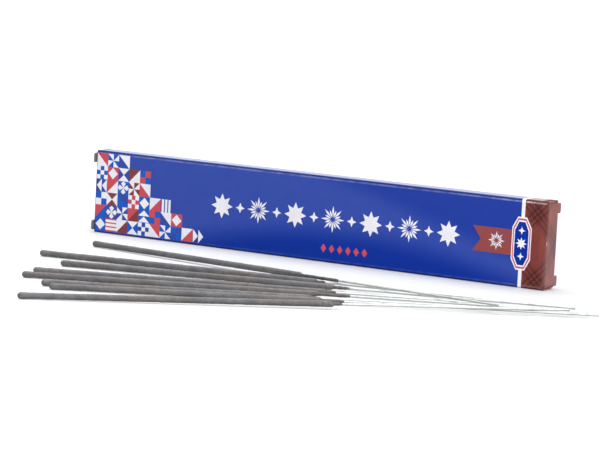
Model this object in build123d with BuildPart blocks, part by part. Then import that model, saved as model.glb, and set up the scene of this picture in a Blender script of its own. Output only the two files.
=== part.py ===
from build123d import *
import os
from math import asin, cos, degrees, radians, sin

os.makedirs("parts", exist_ok=True)

# Sparkler sizes, in mm
sparkler_length = 200.0
wire_diameter = 0.9
base_coat_diameter = 1.4
top_coat_diameter = 2.5
tip_cover = 1.3
bond = 0.02
dip_runout = 1.6

# Carton sizes, in mm
carton_length = sparkler_length + 10.0
carton_height = 34.5
carton_depth = 9.0
board = 0.4
fold_radius = 0.7
lap_width = 7.2
lap_gap = 0.06
lap_setback = 4.0
flap_gap = 0.15
crease_gap = 0.06
flap_inset = 1.1
ear_height = 4.0
ear_reach = 1.6
slit = 0.3
tongue_sweep = 38.0
tongue_corner = 1.8
dust_length = 10.5
dust_corner = 1.4
rest_gap = 0.1
stored_gap = 0.25

# Sizes that follow from those above
wire_r = wire_diameter / 2
base_r = base_coat_diameter / 2
top_r = top_coat_diameter / 2
half = board / 2
hinge_x = carton_length / 2 - board
hinge_y = carton_depth / 2 - board
dust_x = hinge_x - flap_gap - board
tongue_out = 2 * hinge_y - flap_gap
tongue_in = tongue_out - board
floor_top = board + lap_gap + board
back_edge = hinge_x - flap_gap

# Carton sleeve: one strip of board folded round, with a glue lap inside the bottom panel
with BuildPart() as carton_sleeve:
    with BuildSketch(Plane.YZ.offset(-carton_length / 2)):
        with BuildLine():
            FilletPolyline(
                (carton_depth / 2 - half - lap_width, floor_top - half),
                (carton_depth / 2 - half, floor_top - half),
                (carton_depth / 2 - half, carton_height - half),
                (-carton_depth / 2 + half, carton_height - half),
                (-carton_depth / 2 + half, half),
                (carton_depth / 2 - half, half),
                radius=fold_radius - half,
            )
        trace(line_width=board)
    extrude(amount=carton_length)
    # The glue lap stops short of both ends
    lap_cut = carton_depth - 2 * board
    with Locations((carton_length / 2, 0, board + lap_gap / 2), (-carton_length / 2, 0, board + lap_gap / 2)):
        Box(
            2 * lap_setback, lap_cut, 1.5,
            align=(Align.CENTER, Align.CENTER, Align.MIN), mode=Mode.SUBTRACT,
        )
    # Each end is trimmed the same way, turned half round the upright axis
    with PolarLocations(0, 2):
        with Locations((hinge_x, 0, -1)):
            Box(
                5, carton_depth, carton_height + 2,
                align=(Align.MIN, Align.MAX, Align.MIN), mode=Mode.SUBTRACT,
            )
        with Locations((back_edge, 0, -1)):
            Box(
                5, carton_depth, carton_height + 2,
                align=(Align.MIN, Align.MIN, Align.MIN), mode=Mode.SUBTRACT,
            )
        with Locations((dust_x, 0, 0), (dust_x, 0, carton_height)):
            Box(
                5, carton_depth - 2 * fold_radius, 2.2 * board,
                align=(Align.MIN, Align.CENTER, Align.CENTER), mode=Mode.SUBTRACT,
            )
        with Locations((hinge_x, -hinge_y, flap_inset - 0.1)):
            Cylinder(
                board + crease_gap, carton_height - 2 * flap_inset + 0.2,
                align=(Align.CENTER, Align.CENTER, Align.MIN), mode=Mode.SUBTRACT,
            )
        with Locations((dust_x, 0, board), (dust_x, 0, carton_height - board)):
            Cylinder(
                board + crease_gap, carton_depth - 2 * fold_radius,
                rotation=(90, 0, 0), mode=Mode.SUBTRACT,
            )

# Closure flap: crease bead, end panel, curled tongue and two slit-lock ears
with BuildPart() as right_flap:
    with BuildSketch(Plane.XY.offset(flap_inset)) as flap_plan:
        with Locations((hinge_x, -hinge_y)):
            Circle(board)
            Rectangle(board, tongue_out, align=(Align.MIN, Align.MIN))
        fillet(flap_plan.vertices().sort_by(Axis.Y)[-2:].sort_by(Axis.X)[-1], 0.9 * board)
        with BuildLine():
            a0 = CenterArc((hinge_x, -hinge_y), tongue_out, 90, tongue_sweep)
            a1 = CenterArc((hinge_x, -hinge_y), tongue_in, 90, tongue_sweep)
            Line(a0 @ 0, a1 @ 0)
            Line(a0 @ 1, a1 @ 1)
        make_face()
    extrude(amount=carton_height - 2 * flap_inset)
    # Slits free the ears from the tongue
    ear_run = carton_depth / 2 + ear_reach - (tongue_out - hinge_y)
    for z, up in ((flap_inset, Align.MIN), (carton_height - flap_inset, Align.MAX)):
        with Locations((hinge_x, -hinge_y + tongue_in - 1.0, z)):
            Box(
                ear_run, 3, ear_height + slit,
                align=(Align.MAX, Align.MIN, up), mode=Mode.SUBTRACT,
            )
        with Locations((hinge_x, carton_depth / 2 + ear_reach, z)):
            Box(board, ear_run + 1.0, ear_height, align=(Align.MIN, Align.MAX, up))
    tips = right_flap.edges().filter_by(Axis.X).group_by(Axis.Y)[-1]
    fillet(tips, 0.8)
    tongue_tip = [
        e for e in right_flap.edges().filter_by(GeomType.LINE)
        if e.center().X < hinge_x - 0.8 * tongue_in * sin(radians(tongue_sweep)) and e.length < 1.2 * board
    ]
    fillet(tongue_tip, tongue_corner)

# The other end is the same flap turned half round, so the carton is a reverse tuck
with BuildPart() as left_flap:
    add(right_flap.part, rotation=(0, 0, 180))

# Dust flap: crease bead and a panel cut back on the side where the tongue passes
dust_front = -(carton_depth / 2 - flap_inset)
dust_back = carton_depth / 2 - flap_inset - 0.4
dust_step = -hinge_y + tongue_in * cos(radians(tongue_sweep)) - 0.45
dust_z = carton_height - board
with BuildPart() as right_top_dust_flap:
    with BuildSketch(Plane.YZ.offset(dust_x)) as dust_plan:
        with BuildLine():
            Polyline(
                (dust_front, dust_z),
                (dust_back, dust_z),
                (dust_step, dust_z - 2.4),
                (dust_step, dust_z - dust_length),
                (dust_front, dust_z - dust_length),
                close=True,
            )
        make_face()
        fillet(dust_plan.vertices().sort_by(Axis.Y)[:2].sort_by(Axis.Z)[0], dust_corner)
    extrude(amount=board)
    with Locations((dust_x, (dust_front + dust_back) / 2, dust_z)):
        Cylinder(board, dust_back - dust_front, rotation=(90, 0, 0))

with BuildPart() as right_bottom_dust_flap:
    mirror(right_top_dust_flap.part, about=Plane.XY.offset(carton_height / 2))

with BuildPart() as left_top_dust_flap:
    add(right_top_dust_flap.part, rotation=(0, 0, 180))

with BuildPart() as left_bottom_dust_flap:
    add(right_bottom_dust_flap.part, rotation=(0, 0, 180))

carton = {
    "carton_sleeve": carton_sleeve,
    "right_closure_flap": right_flap,
    "left_closure_flap": left_flap,
    "right_top_dust_flap": right_top_dust_flap,
    "right_bottom_dust_flap": right_bottom_dust_flap,
    "left_top_dust_flap": left_top_dust_flap,
    "left_bottom_dust_flap": left_bottom_dust_flap,
}
for name, piece in carton.items():
    piece.part.label = name
    export_step(piece.part, f"parts/{name}.step")

# Loose sparklers on the table, per 200 mm of length:
# tip x, tip y, heading in degrees, end of the full coat, end of the thin first dip
fan = [
    (-79.0, -42.0, -8.3, 110.0, 126.5),
    (-77.0, -81.5, 10.0, 116.5, 119.5),
    (-55.5, -98.0, 15.7, 109.5, 114.5),
    (-51.5, -121.5, 21.0, 113.5, 115.5),
    (-48.0, -133.5, 24.0, 112.0, 123.0),
    (-31.0, -145.0, 28.0, 100.0, 102.5),
    (-24.0, -150.0, 29.5, 100.0, 107.5),
    (-18.5, -177.0, 37.5, 114.5, 116.5),
]
lying_on_others = (0, 7)
fan_scale = sparkler_length / 200.0
fan = [(x * fan_scale, y * fan_scale, h, t * fan_scale, b * fan_scale) for x, y, h, t, b in fan]

# Sparklers left in the carton, side by side from the front panel: y, end of the full coat, end of the first dip
stored_y = -hinge_y + stored_gap + top_r
stored = [
    (stored_y, 106.0 * fan_scale, 118.0 * fan_scale),
    (stored_y + 2 * top_r + stored_gap, 109.0 * fan_scale, 115.0 * fan_scale),
]


def girth(row, s):
    """Radius of a sparkler at a distance from its tip."""
    if s < row[3] + 1.0:
        return top_r
    if s < row[4] + 1.0:
        return base_r
    return wire_r


def crossing(a, b):
    """Distances from both tips to the point where two sparklers cross in plan."""
    ax, ay = cos(radians(a[2])), sin(radians(a[2]))
    bx, by = cos(radians(b[2])), sin(radians(b[2]))
    dx, dy = b[0] - a[0], b[1] - a[1]
    det = bx * ay - ax * by
    return (bx * dy - by * dx) / det, (ax * dy - ay * dx) / det


def lean(row):
    """Angle at which a sparkler lies with its tip on the table and its wire on those beneath."""
    steepest = 0.0
    for k, other in enumerate(fan):
        if k in lying_on_others:
            continue
        s, t = crossing(row, other)
        if 0 < s < sparkler_length + 2 and 0 < t < sparkler_length + 2:
            lift = girth(row, s) + girth(other, t) + rest_gap
            steepest = max(steepest, degrees(asin(lift / s)))
    return steepest


def sparkler(name, plane, top_end, base_end):
    """Wire and dried coat of one sparkler, laid along the plane's x with the tip at its origin."""
    axis = Axis(plane.origin, plane.x_dir)
    wire_hole = wire_r + bond
    # Drawn wire, cut square
    with BuildPart() as wire:
        with BuildSketch(plane):
            with BuildLine():
                Polyline(
                    (tip_cover, 0),
                    (tip_cover, wire_r),
                    (sparkler_length, wire_r),
                    (sparkler_length, 0),
                    close=True,
                )
            make_face()
        revolve(axis=axis)
    # Coat: round over the wire's tip, full to a sloping shoulder, then the first thin dip by itself
    with BuildPart() as coat:
        with BuildSketch(plane):
            with BuildLine():
                CenterArc((top_r, 0), top_r, 90, 90)
                Polyline(
                    (top_r, top_r),
                    (top_end - dip_runout, top_r),
                    (top_end, base_r),
                    (base_end, base_r),
                    (base_end, wire_hole),
                    (tip_cover - bond, wire_hole),
                    (tip_cover - bond, 0),
                    (0, 0),
                )
            make_face()
        revolve(axis=axis)
    for suffix, piece in (("wire", wire), ("coat", coat)):
        piece.part.label = f"{name}_{suffix}"
        export_step(piece.part, f"parts/{name}_{suffix}.step")


for k, row in enumerate(fan):
    turn = radians(row[2])
    rise = radians(lean(row)) if k in lying_on_others else 0.0
    along = (cos(turn) * cos(rise), sin(turn) * cos(rise), sin(rise))
    place = Plane(origin=(row[0], row[1], top_r), x_dir=along, z_dir=(sin(turn), -cos(turn), 0))
    sparkler(f"sparkler_{k + 1}", place, row[3], row[4])

for k, row in enumerate(stored):
    tip = (-sparkler_length / 2 + 1.2, row[0], floor_top + top_r + 0.05)
    place = Plane(origin=tip, x_dir=(1, 0, 0), z_dir=(0, -1, 0))
    sparkler(f"sparkler_{len(fan) + k + 1}", place, row[1], row[2])
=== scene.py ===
"""Carton of sparklers: folded board, printed motifs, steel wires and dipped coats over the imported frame."""

from functools import partial

import bpy
import numpy as np
from mathutils import Matrix, Vector


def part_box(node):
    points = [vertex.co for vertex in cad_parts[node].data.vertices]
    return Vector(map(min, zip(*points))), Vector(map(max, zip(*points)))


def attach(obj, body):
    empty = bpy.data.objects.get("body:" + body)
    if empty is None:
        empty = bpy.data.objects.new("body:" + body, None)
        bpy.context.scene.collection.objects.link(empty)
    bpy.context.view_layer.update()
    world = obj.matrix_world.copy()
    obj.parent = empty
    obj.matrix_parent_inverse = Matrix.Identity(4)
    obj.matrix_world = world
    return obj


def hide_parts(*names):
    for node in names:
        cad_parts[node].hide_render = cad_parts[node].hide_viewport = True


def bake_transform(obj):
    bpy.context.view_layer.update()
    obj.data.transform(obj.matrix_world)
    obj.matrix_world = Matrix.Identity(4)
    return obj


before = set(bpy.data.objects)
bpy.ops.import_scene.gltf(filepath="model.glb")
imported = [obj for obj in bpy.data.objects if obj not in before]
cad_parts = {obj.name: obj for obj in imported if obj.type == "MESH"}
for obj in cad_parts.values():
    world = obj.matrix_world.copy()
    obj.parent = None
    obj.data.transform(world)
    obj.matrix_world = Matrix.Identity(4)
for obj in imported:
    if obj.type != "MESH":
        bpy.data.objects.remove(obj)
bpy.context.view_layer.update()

bl_info = {
    "name": "Carton of sparklers",
    "version": (1, 0, 0),
    "blender": (4, 5, 0),
    "location": "View3D > Sidebar > Sparklers",
    "description": "Dresses a folded carton and its dipped sparklers over their packed frame",
    "category": "Object",
}

MM = 0.001
SPARKLERS = [f"sparkler_{k}" for k in range(1, 11)]

# Folding lines that the frame already holds
SLEEVE_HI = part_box("carton_sleeve")[1]
FLAP_LO, FLAP_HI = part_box("right_closure_flap")
DUST_LO, DUST_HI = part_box("right_top_dust_flap")
HALF_DEPTH = SLEEVE_HI.y
HEIGHT = SLEEVE_HI.z
END_X = FLAP_HI.x
DUST_X = (DUST_LO.x + DUST_HI.x) / 2

# Gaps and roundings of the folded board
LAP_GAP = 0.06 * MM
LAP_SETBACK = 4 * MM
FLAP_GAP = 0.15 * MM
CREASE_CUT = 0.44 * MM
DUST_CUT = 0.23 * MM
TONGUE_CORNER = 1.8 * MM
EAR_CORNER = 0.8 * MM
DUST_CORNER = 1.4 * MM
DUST_SLOPE = 2.4 * MM
DUST_CLEARANCE = 0.45 * MM
CREASE_RUN = 0.9 * MM
CREASE_LIFT = 0.03 * MM
CREASE_FACE = 0.02 * MM
FLAP_BOARD = 0.97  # a flap's share of the board's thickness

# Print: how high the first ink stands, how much higher each further layer is, and how deep an ink's foot goes
INK_HEIGHT, INK_STEP, INK_FOOT = 0.03 * MM, 0.012 * MM, 0.01 * MM

# How near the end of a round node its end points lie
END_TOLERANCE = 1e-5

# Table: half its side, points along a side and height, just under the object
TABLE_HALF, TABLE_POINTS, TABLE_Z = 6.0, 13, -0.08 * MM

# Lamps: name, the setting with its power, side, place and aim
LAMPS = (
    ("overhead lamp", "key", 1.1, (-0.1, 0.1, 1.15), (0.0, -0.05, 0.0)),
    ("front lamp", "fill", 0.9, (0.95, -0.95, 0.55), (0.0, 0.0, 0.02)),
    ("side lamp", "side", 0.7, (1.25, -0.15, 0.5), (0.05, 0.0, 0.02)),
)

# Camera: degrees to the right of the wide panel, above it and rolled, its aim, and its lens and film width
CAMERA_TURN, CAMERA_RISE, CAMERA_ROLL = 30.36, 7.19, 2.94
CAMERA_AIM = (-7.47 * MM, 0.0, 13.02 * MM)
CAMERA_LENS, CAMERA_FILM = 180.0, 36.0


# ---------------------------------------------------------------- settings


def colour(name, red, green, blue, note):
    """A colour setting written as 0-255 display values and kept as linear light."""
    display = np.array([red, green, blue]) / 255
    linear = np.where(display <= 0.04045, display / 12.92, ((display + 0.055) / 1.055) ** 2.4)
    return bpy.props.FloatVectorProperty(
        name=name, description=note, subtype="COLOR", size=3, min=0.0, max=1.0, default=tuple(linear.tolist())
    )


def length(name, millimetres, note):
    """A length setting written in millimetres and kept in metres."""
    return bpy.props.FloatProperty(
        name=name, description=note, unit="LENGTH", precision=5, min=0.0, default=millimetres * MM
    )


def share(name, value, note):
    """A setting between nothing and all."""
    return bpy.props.FloatProperty(
        name=name, description=note, subtype="FACTOR", min=0.0, max=1.0, default=value
    )


def power(name, watts, note):
    """A lamp's power setting."""
    return bpy.props.FloatProperty(name=name, description=note, unit="POWER", default=watts)


class CartonSettings(bpy.types.PropertyGroup):
    """Board, inks and print of the carton."""

    board: length("Board", 0.4, "Thickness of the folded board")
    fold_radius: length("Fold radius", 0.7, "Outer radius of the sleeve's four long folds")
    bow: length("Panel bow", 0.1, "How far the wide panels swell outwards at their middle")
    lap_width: length("Glue lap", 7.2, "Width of the lap glued inside the bottom panel")
    tongue_sweep: bpy.props.FloatProperty(
        name="Tongue curl",
        description="Angle over which a tuck tongue curls",
        subtype="ANGLE",
        default=np.radians(38.0),
    )
    ear_height: length("Ear height", 4.0, "Height of each slit-lock ear")
    slit: length("Ear slit", 0.3, "Width of the slit that frees an ear")
    tile: length("Patchwork tile", 5.4, "Side of one printed patchwork tile")
    star: length("Star radius", 5.1, "Radius of the large printed stars")
    band_start: length("End band start", 95.0, "Distance from the middle to the plaid end band")
    band_line: length("End band line", 1.5, "Width of the pale line beside the plaid end band")
    ground_high: colour("Ground, paler", 55, 78, 167, "Ink of the wide panels where it is palest")
    ground_low: colour("Ground, deeper", 5, 47, 149, "Ink of the wide panels where it is deepest")
    paper_white: colour("White", 240, 239, 244, "Unprinted white of the board")
    red: colour("Red", 204, 80, 84, "Red ink")
    sky: colour("Bright blue", 30, 92, 192, "Bright blue ink")
    brown: colour("Brown", 131, 63, 58, "Brown ink of the plaid")
    ribbon: colour("Ribbon", 148, 73, 66, "Paler brown ink of the ribbon")
    brown_dark: colour("Dark brown", 74, 40, 39, "Darker lines of the plaid")
    bare_board: colour("Bare board", 103, 100, 87, "Unprinted inner face and cut edges of the board")
    wear: share("Fold wear", 0.75, "How much ink is rubbed off the folds")


class SparklerSettings(bpy.types.PropertyGroup):
    """Wires and dried coats of the sparklers."""

    coat: colour("Coat", 96, 93, 95, "Dried spark coat")
    coat_dark: colour("Coat, dark", 45, 42, 42, "Darker grains and the thin first dip")
    steel: colour("Steel", 177, 180, 178, "Drawn steel wire")
    lumps: share("Lumps", 0.09, "How far the coat shrinks between its thickest places")
    drip: length("Ragged edge", 1.3, "How far a coat's edge wanders round the wire")
    runout: length("Shoulder", 1.6, "Length over which the full coat thins to the first dip")
    wander: length("Wire wander", 0.22, "How far a wire's bare end strays from straight")


class StageSettings(bpy.types.PropertyGroup):
    """Floor, light and camera."""

    floor: colour("Floor", 190, 191, 193, "Pale floor")
    lift: share("Floor lift", 0.15, "Glow that brings the floor near the object up to white")
    far_lift: share("Far floor lift", 0.85, "Glow that brings the far floor up to white")
    key: power("Key light", 19.0, "Power of the large overhead lamp")
    fill: power("Fill light", 14.3, "Power of the front lamp")
    side: power("Side light", 3.9, "Power of the lamp at the right")
    sky: share("Surrounding light", 0.2, "Strength of the even light from all round")
    distance: length("Camera distance", 1209.5, "Distance from the camera to its aim")


# ---------------------------------------------------------------- meshes


def mesh_piece(name, points, faces, materials, attributes=None):
    """Object at the origin from an array of points and a list of faces, with named values on its points."""
    mesh = bpy.data.meshes.new(name)
    mesh.from_pydata(points.reshape(-1, 3).tolist(), [], faces)
    for key, values in (attributes or {}).items():
        kind, field = ("FLOAT", "value") if values.ndim == 1 else ("FLOAT_COLOR", "color")
        layer = mesh.attributes.new(key, kind, "POINT")
        layer.data.foreach_set(field, values.astype(np.float32).ravel())
    for material in materials:
        mesh.materials.append(material)
    mesh.validate()
    mesh.update()
    piece = bpy.data.objects.new(name, mesh)
    bpy.context.scene.collection.objects.link(piece)
    return piece


def grid_faces(rows, columns, closed=False):
    """Quads of a grid: each joins a point to the next row and the next column.

    Closed joins the last column to the first.
    """
    number = np.arange(rows * columns).reshape(rows, columns)
    if closed:
        number = np.concatenate([number, number[:, :1]], axis=1)
    quads = np.stack([number[:-1, :-1], number[1:, :-1], number[1:, 1:], number[:-1, 1:]], axis=-1)
    return quads.reshape(-1, 4)


def smooth(piece):
    """Shades a rounded piece smoothly."""
    piece.data.polygons.foreach_set("use_smooth", np.ones(len(piece.data.polygons), bool))
    return piece


def sharpen_by_angle(piece, angle):
    """Shades smoothly across faces that meet at less than an angle, and crisply across the rest."""
    smooth(piece)
    piece.data.set_sharp_from_angle(angle=np.radians(angle))
    return piece


def settle(piece, body, slot, *nodes):
    """Puts a piece on the body it moves with, in place of the plain solids. Its finish slot is not used."""
    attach(piece, body)
    if nodes:
        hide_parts(*nodes)


def ease(t):
    """Smooth step from 0 to 1: three times the square less twice the cube."""
    t = np.clip(t, 0.0, 1.0)
    return t * t * (3.0 - 2.0 * t)


def arc(centre, radius, start, end, steps):
    """Points on a circle from one angle to another, in degrees."""
    angle = np.radians(np.linspace(start, end, steps))
    return np.stack([centre[0] + radius * np.cos(angle), centre[1] + radius * np.sin(angle)], axis=1)


def run(start, end, steps):
    """Evenly spaced points on a straight line, without its end."""
    start, end = np.asarray(start), np.asarray(end)
    return start + (end - start) * np.linspace(0, 1, steps, endpoint=False)[:, None]


def along(path):
    """Distance from a path's start to each of its points."""
    return np.concatenate([[0.0], np.cumsum(np.linalg.norm(np.diff(path, axis=0), axis=1))])


def carry(path, axis, low, high, steps):
    """Grid of a path carried along an axis: point (i, j) is path i moved a share j from low to high."""
    across = low[:, None] + (high - low)[:, None] * np.linspace(0, 1, steps)
    return path[:, None, :] + across[..., None] * np.asarray(axis, float), across


def board_piece(name, parts, materials, thickness):
    """Folded board: the grids of its outer face share their seams, and a wall of its thickness grows inwards.

    Each part is (grid, distance along the profile, place across it, distance from the nearest fold), and the
    sleeve counts that last distance as negative on its narrow panels.
    """
    points, faces, uv, fold, first = [], [], [], [], 0
    for grid, travel, across, to_fold in parts:
        rows, columns = grid.shape[:2]
        points.append(grid.reshape(-1, 3))
        faces.append(grid_faces(rows, columns) + first)
        uv.append(np.stack([across.ravel() / MM, np.repeat(travel, columns) / MM], axis=1))
        fold.append(np.broadcast_to(to_fold, (rows, columns)).ravel() / MM)
        first += rows * columns
    points, uv, fold = np.concatenate(points), np.concatenate(uv), np.concatenate(fold)
    # Points that two parts share become one
    places = np.round(points / 1e-7).astype(np.int64)
    _, keep, number = np.unique(places, axis=0, return_index=True, return_inverse=True)
    faces = number.reshape(-1)[np.concatenate(faces)]
    points, uv, fold = points[keep], uv[keep], fold[keep]
    piece = mesh_piece(name, points, faces.tolist(), materials, {"fold": fold})
    layer = piece.data.uv_layers.new(name="board")
    corner = np.zeros(len(piece.data.loops), np.int32)
    piece.data.loops.foreach_get("vertex_index", corner)
    layer.data.foreach_set("uv", uv[corner].astype(np.float32).ravel())
    wall = piece.modifiers.new("wall", "SOLIDIFY")
    wall.thickness, wall.offset, wall.use_even_offset = thickness, -1.0, False
    wall.material_offset = wall.material_offset_rim = 1
    return smooth(piece)


# ---------------------------------------------------------------- carton shapes


def panel_bow(x, z, amount):
    """Outward swell of a wide panel: a parabola along it times a parabola up it, nothing at the folds."""
    along_panel = np.clip(1 - (x / END_X) ** 2, 0, 1)
    up_panel = np.clip(1 - ((2 * z - HEIGHT) / HEIGHT) ** 2, 0, 1)
    return amount * along_panel * up_panel


def flap_hinge(cfg):
    """Middle of the right closure flap's crease, in plan."""
    return np.array([END_X - cfg.board, -(HALF_DEPTH - cfg.board)])


def tongue_reach(cfg):
    """Distance from a closure flap's crease to the outer face of its tongue."""
    return 2 * (HALF_DEPTH - cfg.board) - FLAP_GAP


def on_floor(plan, turn):
    """A plan's points at height 0, turned half round for the left end."""
    return np.concatenate([plan * turn, np.zeros((len(plan), 1))], axis=1)


def draw_in(left_over, radius):
    """How far an edge draws in along a quarter circle, from what is left to its free end."""
    near = np.clip(left_over, 0, radius)
    return radius - np.sqrt(np.clip(radius**2 - (radius - near) ** 2, 0, None))


def sleeve_parts(cfg):
    """One strip folded round: lap, back, top, front and bottom, in the Y-Z plane, carried along X.

    Each fold is a quarter circle. Every panel has its own two ends, where the flaps' creases begin.
    """
    r, d, h, board = cfg.fold_radius, HALF_DEPTH, HEIGHT, cfg.board
    lap_z = board + LAP_GAP
    quarter, tall, narrow, near_fold, lap_lift = 6, 16, 6, 0.2 * MM, 0.9 * MM
    # The bottom panel ends where the top does
    pieces = [
        ("lap", run((d - cfg.lap_width, lap_z), (d - r, lap_z), 4)),
        ("side", arc((d - r, lap_z + r), r, -90, 0, quarter)[:-1]),
        ("back", run((d, lap_z + r), (d, h - r - near_fold), tall)),
        ("back", np.array([[d, h - r - near_fold]])),
        ("side", arc((d - r, h - r), r, 0, 90, quarter)[:-1]),
        ("top", run((d - r, h), (-d + r, h), narrow)),
        ("side", arc((-d + r, h - r), r, 90, 180, quarter)[:-1]),
        ("front", run((-d, h - r), (-d, r + near_fold), tall)),
        ("front", np.array([[-d, r + near_fold]])),
        ("side", arc((-d + r, r), r, 180, 270, quarter)[:-1]),
        ("top", run((-d + r, 0), (d - board / 2, 0), narrow)),
        ("top", np.array([[d - board / 2, 0.0]])),
    ]
    name = np.concatenate([[n] * len(p) for n, p in pieces])
    yz = np.concatenate([p for _, p in pieces])
    travel = along(yz)
    lap = END_X - LAP_SETBACK
    crease = END_X - board - CREASE_CUT
    edge = END_X - board - FLAP_GAP
    top = DUST_X - DUST_CUT
    left = {"lap": -lap, "back": -crease, "top": -top, "front": -edge, "side": -edge}
    right = {"lap": lap, "back": edge, "top": top, "front": crease, "side": edge}
    low = np.array([left[n] for n in name])
    high = np.array([right[n] for n in name])
    # The lap lifts the back's lower fold, so its upper rows also stop short of the left crease
    side = name == "side"
    low[side & (yz[:, 0] > 0) & (yz[:, 1] > lap_lift) & (yz[:, 1] < h - r)] = -crease
    path = np.concatenate([np.zeros((len(yz), 1)), yz], axis=1)
    grid, across = carry(path, (1, 0, 0), low, high, 72)
    sign = np.where(name == "front", -1.0, np.where(name == "back", 1.0, 0.0))
    grid[..., 1] += sign[:, None] * panel_bow(grid[..., 0], grid[..., 2], cfg.bow)
    # Distance from the nearest fold's middle, positive on the wide panels and negative on the narrow ones
    step = np.diff(travel)[side[:-1]].mean()
    middles = travel[side].reshape(4, -1).mean(axis=1) + 0.5 * step
    off = travel[:, None] - middles[None, :]
    nearest = np.abs(off).argmin(axis=1)
    to_fold = off[np.arange(len(off)), nearest] * np.array([1.0, -1.0, 1.0, -1.0])[nearest]
    return [(grid, travel, across, to_fold[:, None])]


def closure_parts(cfg, turn):
    """Closure flap: crease bead, end panel, curled tongue and two ears, in plan, carried up Z.

    The bead is a quarter circle on the hinge, the tongue an arc about the same hinge, and the ears run
    straight on.
    """
    board, hinge, reach = cfg.board, flap_hinge(cfg), tongue_reach(cfg)
    corner = 0.9 * board
    inset = FLAP_LO.z
    low_ear = inset + cfg.ear_height
    low_tongue = low_ear + cfg.slit
    bead = arc(hinge, board, -90, 0, 6)
    turn_y = hinge[1] + reach - corner
    panel = np.concatenate([bead[:-1], run(bead[-1], (END_X, turn_y), 8), [[END_X, turn_y]]])
    shoulder = arc((END_X - corner, turn_y), corner, 0, 90, 5)
    curl = arc(hinge, reach, 90, 90 + np.degrees(cfg.tongue_sweep), 24)
    tongue = np.concatenate([shoulder, curl])
    ears = np.concatenate([run((END_X, turn_y), (END_X, FLAP_HI.y), 12), [[END_X, FLAP_HI.y]]])
    end = along(panel)[-1]

    def part(plan, low, high, steps, start=end, radius=0.0):
        """One grid of the flap between two heights that draw in towards its free end."""
        draw = draw_in(along(plan)[-1] - along(plan), radius)
        grid, across = carry(on_floor(plan, turn), (0, 0, 1), low + draw, high - draw, steps)
        to_fold = np.minimum(np.abs(plan[:, 1] - hinge[1]), np.abs(plan[:, 1] - turn_y))
        return grid, END_X + (start + along(plan)), across, to_fold[:, None]

    levels = [inset, low_ear, low_tongue]
    levels += [HEIGHT - z for z in reversed(levels)]
    strips = zip(levels, levels[1:], (5, 2, 13, 2, 5))
    return [
        *(part(panel, low, high, steps, start=0.0) for low, high, steps in strips),
        part(tongue, low_tongue, HEIGHT - low_tongue, 13, radius=TONGUE_CORNER),
        part(ears, inset, low_ear, 5, radius=EAR_CORNER),
        part(ears, HEIGHT - low_ear, HEIGHT - inset, 5, radius=EAR_CORNER),
    ]


def dust_parts(cfg, side, top):
    """Dust flap: a quarter-circle bead and a hanging panel in the X-Z plane, carried across Y.

    The edge where the tongue passes slopes in below the crease, and the other lower corner is rounded.
    """
    board = cfg.board
    hinge_z = HEIGHT - board
    bead = arc((DUST_X, hinge_z), board, 90, 0, 6)
    plan = np.concatenate([bead[:-1], run(bead[-1], (DUST_HI.x, DUST_LO.z), 40), [[DUST_HI.x, DUST_LO.z]]])
    fall = np.clip(hinge_z - plan[:, 1], 0, None)
    inner_reach = tongue_reach(cfg) - board
    step_y = -(HALF_DEPTH - board) + inner_reach * np.cos(cfg.tongue_sweep) - DUST_CLEARANCE
    high = DUST_HI.y - (DUST_HI.y - step_y) * np.clip(fall / DUST_SLOPE, 0, 1)
    low = DUST_LO.y + draw_in(fall[-1] - fall, DUST_CORNER)
    z = plan[:, 1] if top else HEIGHT - plan[:, 1]
    path = np.stack([plan[:, 0] * side, np.zeros(len(plan)), z], axis=1)
    edges = (low, high) if top else (high, low)
    grid, across = carry(path, (0, side, 0), *edges, 10)
    return [(grid, along(plan), across, fall[:, None])]


def crease_parts(cfg, turn):
    """Printed face over a closure flap's crease.

    A short run of the wide panel, a quarter circle on the hinge and a short run of the end panel.
    """
    hinge = flap_hinge(cfg)
    over = cfg.board + CREASE_LIFT
    flat, quarter = 5, 9
    plan = np.concatenate(
        [
            run(hinge + (-CREASE_RUN, -over), hinge + (0, -over), flat),
            arc(hinge, over, -90, 0, quarter)[:-1],
            run(hinge + (over, 0), hinge + (over, CREASE_RUN), flat),
            [hinge + (over, CREASE_RUN)],
        ]
    )
    low, high = (np.full(len(plan), z) for z in (FLAP_LO.z, FLAP_HI.z))
    grid, across = carry(on_floor(plan, turn), (0, 0, 1), low, high, 40)
    travel = along(plan)
    from_crease = travel - travel[flat + quarter // 2]
    return [(grid, END_X + from_crease, across, np.abs(from_crease)[:, None])]


# ---------------------------------------------------------------- print shapes


def regular_star(points, inner):
    """Star outline of radius 1: its corners alternate between radius 1 and the inner radius."""
    angle = np.pi / 2 + np.pi * np.arange(2 * points) / points
    radius = np.where(np.arange(2 * points) % 2 == 0, 1.0, inner)
    return np.stack([radius * np.cos(angle), radius * np.sin(angle)], axis=1)[None]


def burst(rays, start, width):
    """Rays round a centre: each is a kite from the start radius out to radius 1, every second one shorter."""
    angle = np.pi / 2 + 2 * np.pi * np.arange(rays) / rays
    reach = np.where(np.arange(rays) % 2 == 0, 1.0, 0.72)
    widest = start + 0.55 * (reach - start)
    out = np.stack([np.full(rays, start), widest, reach, widest], axis=1)
    side = np.array([0.0, -width, 0.0, width])[None, :]
    cos, sin = np.cos(angle)[:, None], np.sin(angle)[:, None]
    return np.stack([out * cos - side * sin, out * sin + side * cos], axis=2)


def square(low, high):
    """One square outline."""
    return np.array([[[low, low], [high, low], [high, high], [low, high]]])


QUARTER_TURNS = np.array(
    [[[1, 0], [0, 1]], [[0, -1], [1, 0]], [[-1, 0], [0, -1]], [[0, 1], [-1, 0]]], float
)


def turned(outline, times):
    """An outline in the unit square turned about its middle by quarter turns."""
    return (outline - 0.5) @ QUARTER_TURNS[times % 4].T + 0.5


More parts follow.
